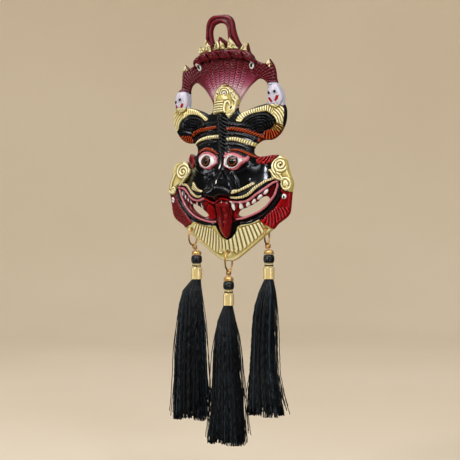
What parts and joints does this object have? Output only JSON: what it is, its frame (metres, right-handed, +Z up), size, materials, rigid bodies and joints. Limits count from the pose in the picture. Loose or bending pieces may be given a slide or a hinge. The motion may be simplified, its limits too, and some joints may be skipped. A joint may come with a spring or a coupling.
{
  "type": "evil eye wall mask",
  "caption": "Painted cast metal wall mask with a hanger loop, serpent hood, horned brow, grinning tongue-out face and fluted collar, with black silk tassels hung on wire rings.",
  "frame": {"origin": "inner top of the hanger loop, where the nail bears, in the plane of the wall", "axes": "+Z up, +Y into the wall, so the face looks along -Y and its own left side is at +X; the back rests on the plane y = 0"},
  "size_m": [0.1298, 0.039, 0.4069],
  "materials": {
    "painted_casting": "gloss enamel in black, maroon, red, white, pink and orange, with gold paint on the carved trims",
    "gold_wire": "bright gold-coloured wire",
    "gold_trim": "polished gold plate",
    "black_bead": "gloss black bead wound with thread",
    "black_silk": "loose black silk threads with a soft sheen"
  },
  "bodies": {
    "root": {"mask_casting": "painted_casting", "jump_ring_left": "gold_wire", "wire_eye_left": "gold_wire", "bead_cap_left": "gold_trim", "black_bead_left": "black_bead", "spacer_ring_left": "gold_trim", "tassel_sleeve_left": "gold_trim", "tassel_skirt_left": "black_silk", "jump_ring_centre": "gold_wire", "wire_eye_centre": "gold_wire", "bead_cap_centre": "gold_trim", "black_bead_centre": "black_bead", "spacer_ring_centre": "gold_trim", "tassel_sleeve_centre": "gold_trim", "tassel_skirt_centre": "black_silk", "jump_ring_right": "gold_wire", "wire_eye_right": "gold_wire", "bead_cap_right": "gold_trim", "black_bead_right": "black_bead", "spacer_ring_right": "gold_trim", "tassel_sleeve_right": "gold_trim", "tassel_skirt_right": "black_silk"}
  },
  "joints": []
}
